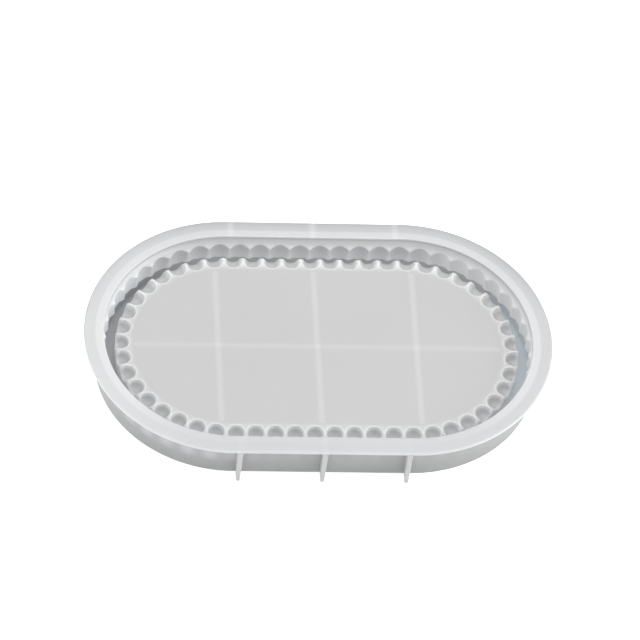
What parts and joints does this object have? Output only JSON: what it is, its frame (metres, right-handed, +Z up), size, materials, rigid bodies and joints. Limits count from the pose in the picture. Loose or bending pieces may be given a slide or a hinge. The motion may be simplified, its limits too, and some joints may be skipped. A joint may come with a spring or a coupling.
{
  "type": "resin casting mould",
  "caption": "Shallow oval silicone mould for casting a beaded serving tray, with a flat rim, a raised casting face edged with round scoops, and stiffening fins",
  "frame": {"origin": "middle of the base plane that the mould stands on", "axes": "+X along the length, +Y to the back of the width, +Z up towards the open side"},
  "size_m": [0.264, 0.1652, 0.0272],
  "materials": {
    "rim_silicone": "satin",
    "wall_silicone": "satin",
    "bead_silicone": "satin",
    "face_silicone": "satin",
    "rib_silicone": "satin"
  },
  "bodies": {
    "root": {"rim_flange": "rim_silicone", "mouth_collar": "rim_silicone", "outer_bead_wall": "bead_silicone", "lower_wall": "wall_silicone", "groove_floor": "wall_silicone", "island_wall": "wall_silicone", "island_bead_edge": "bead_silicone", "casting_face": "face_silicone", "cross_rib_left": "rib_silicone", "cross_rib_middle": "rib_silicone", "cross_rib_right": "rib_silicone", "long_rib_far_left": "rib_silicone", "long_rib_left": "rib_silicone", "long_rib_right": "rib_silicone", "long_rib_far_right": "rib_silicone", "front_fin_left": "rib_silicone", "front_fin_middle": "rib_silicone", "front_fin_right": "rib_silicone", "back_fin_left": "rib_silicone", "back_fin_middle": "rib_silicone", "back_fin_right": "rib_silicone"}
  },
  "joints": []
}
